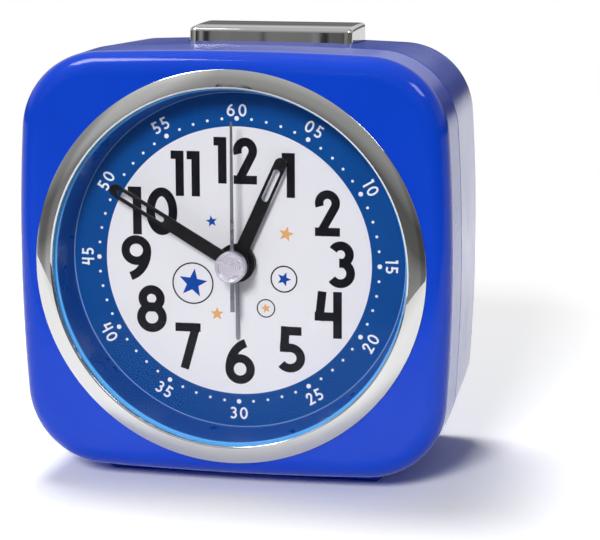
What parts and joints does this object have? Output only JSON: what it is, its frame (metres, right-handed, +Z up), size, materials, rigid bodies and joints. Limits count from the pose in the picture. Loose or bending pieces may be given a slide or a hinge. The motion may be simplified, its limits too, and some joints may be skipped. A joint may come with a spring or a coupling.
{
  "type": "kids alarm clock",
  "caption": "Rounded-square blue quartz alarm clock with round analogue dial, chrome bezel, chrome snooze bar, low foot, setting knobs and battery bay.",
  "frame": {"origin": "middle of the overall box, on the surface that the foot stands on", "axes": "+X to the right as seen from the front, +Y to the back, +Z up; the dial faces -Y"},
  "size_m": [0.0922, 0.058, 0.0944],
  "materials": {
    "case_blue": "glossy royal blue moulded ABS",
    "chrome_plating": "bright chrome plating on moulded ABS",
    "clear_lens": "clear polished styrene",
    "ring_blue": "satin blue moulded ABS",
    "dial_print": "printed dial sheet with a white middle",
    "inner_plastic": "natural white moulded plastic",
    "movement_grey": "dark grey moulded plastic",
    "gear_plastic": "natural acetal",
    "rotor_magnet": "plastic-bonded magnet on a plastic pinion",
    "knob_black": "satin black moulded plastic",
    "hand_black": "satin black lacquered sheet",
    "hand_silver": "bright brushed silver",
    "plated_steel": "zinc-plated steel",
    "copper_wire": "enamelled copper wire",
    "board_green": "green lacquered board",
    "contact_metal": "nickel-plated spring strip",
    "switch_black": "black moulded plastic",
    "cell_wrap": "plain dark printed sleeve"
  },
  "bodies": {
    "case": {"front_case": "case_blue", "rear_case": "case_blue", "foot": "case_blue", "bezel_ring": "chrome_plating", "lens": "clear_lens", "dial_ring": "ring_blue", "dial_plate": "dial_print", "movement_carrier": "inner_plastic", "movement_front_plate": "inner_plastic", "movement_middle_plate": "inner_plastic", "movement_back_cover": "movement_grey", "stator": "plated_steel", "coil_core": "plated_steel", "coil": "copper_wire", "circuit_board": "board_green", "quartz_crystal": "plated_steel", "alarm_trip_spring": "contact_metal", "snooze_springs": "plated_steel", "snooze_switch": "switch_black", "alarm_switch_body": "switch_black", "sounder": "switch_black", "battery_cell": "cell_wrap", "positive_contact": "contact_metal", "negative_contact": "contact_metal", "case_screws": "plated_steel", "movement_screws": "plated_steel"},
    "second_hand_group": {"seconds_wheel": "gear_plastic", "second_hand": "hand_silver", "hand_cap": "hand_silver"},
    "third_wheel_group": {"third_wheel": "gear_plastic"},
    "centre_wheel_group": {"centre_wheel": "gear_plastic"},
    "intermediate_wheel_group": {"intermediate_wheel": "gear_plastic"},
    "rotor_group": {"rotor": "rotor_magnet"},
    "minute_hand_group": {"minute_tube": "gear_plastic", "minute_hand": "hand_black"},
    "motion_wheel_group": {"motion_wheel": "gear_plastic"},
    "hour_hand_group": {"hour_wheel": "gear_plastic", "hour_hand": "hand_black"},
    "time_setting": {"time_shaft": "gear_plastic", "time_knob": "knob_black"},
    "alarm_hand_group": {"alarm_wheel": "gear_plastic", "alarm_hand": "hand_silver"},
    "alarm_setting": {"alarm_shaft": "gear_plastic", "alarm_knob": "knob_black"},
    "snooze": {"snooze_bar": "chrome_plating"},
    "snooze_button": {"snooze_switch_button": "switch_black"},
    "alarm_slider": {"alarm_switch_slider": "knob_black"},
    "door": {"battery_door": "case_blue"}
  },
  "joints": [
    {"name": "second_spin", "type": "hinge", "parent": "case", "child": "second_hand_group", "pos_m": [0, 0, 0.0474], "axis": [0, 1, 0], "continuous": true},
    {"name": "third_spin", "type": "hinge", "parent": "case", "child": "third_wheel_group", "pos_m": [0, 0, 0.03516], "axis": [0, 1, 0], "continuous": true},
    {"name": "centre_spin", "type": "hinge", "parent": "case", "child": "centre_wheel_group", "pos_m": [0, 0, 0.0474], "axis": [0, 1, 0], "continuous": true},
    {"name": "intermediate_spin", "type": "hinge", "parent": "case", "child": "intermediate_wheel_group", "pos_m": [-0.0042, 0, 0.05468], "axis": [0, 1, 0], "continuous": true},
    {"name": "rotor_spin", "type": "hinge", "parent": "case", "child": "rotor_group", "pos_m": [-0.0078, 0, 0.06091], "axis": [0, 1, 0], "continuous": true},
    {"name": "minute_spin", "type": "hinge", "parent": "case", "child": "minute_hand_group", "pos_m": [0, 0, 0.0474], "axis": [0, 1, 0], "continuous": true},
    {"name": "motion_spin", "type": "hinge", "parent": "case", "child": "motion_wheel_group", "pos_m": [-0.01, 0, 0.0474], "axis": [0, 1, 0], "continuous": true},
    {"name": "hour_spin", "type": "hinge", "parent": "case", "child": "hour_hand_group", "pos_m": [0, 0, 0.0474], "axis": [0, 1, 0], "continuous": true},
    {"name": "time_knob_spin", "type": "hinge", "parent": "case", "child": "time_setting", "pos_m": [-0.01707, 0, 0.05583], "axis": [0, 1, 0], "continuous": true},
    {"name": "alarm_spin", "type": "hinge", "parent": "case", "child": "alarm_hand_group", "pos_m": [0, 0, 0.0474], "axis": [0, 1, 0], "continuous": true},
    {"name": "alarm_knob_spin", "type": "hinge", "parent": "case", "child": "alarm_setting", "pos_m": [0.01707, 0, 0.05583], "axis": [0, 1, 0], "continuous": true},
    {"name": "snooze_press", "type": "slide", "parent": "case", "child": "snooze", "axis": [0, 0, -1], "range_m": [0, 0.0012], "stiffness_N_per_m": 400, "springref_m": -0.001, "deforming": ["snooze_springs"]},
    {"name": "snooze_button_press", "type": "slide", "parent": "case", "child": "snooze_button", "axis": [0, 0, -1], "range_m": [0, 0.0012]},
    {"name": "alarm_switch_slide", "type": "slide", "parent": "case", "child": "alarm_slider", "axis": [1, 0, 0], "range_m": [0, 0.004]},
    {"name": "door_tilt", "type": "hinge", "parent": "case", "child": "door", "pos_m": [0, 0.027, 0.0088], "axis": [-1, 0, 0], "range_deg": [0, 80]}
  ],
  "couplings": [
    {"joint": "third_spin", "follows": "second_spin", "ratio": -0.13333},
    {"joint": "centre_spin", "follows": "second_spin", "ratio": 0.016667},
    {"joint": "intermediate_spin", "follows": "second_spin", "ratio": -6},
    {"joint": "rotor_spin", "follows": "second_spin", "ratio": 30},
    {"joint": "motion_spin", "follows": "minute_spin", "ratio": -0.33333},
    {"joint": "hour_spin", "follows": "minute_spin", "ratio": 0.083333},
    {"joint": "time_knob_spin", "follows": "minute_spin", "ratio": 0.71429},
    {"joint": "alarm_knob_spin", "follows": "alarm_spin", "ratio": -2.125},
    {"joint": "snooze_button_press", "follows": "snooze_press", "ratio": 1}
  ]
}
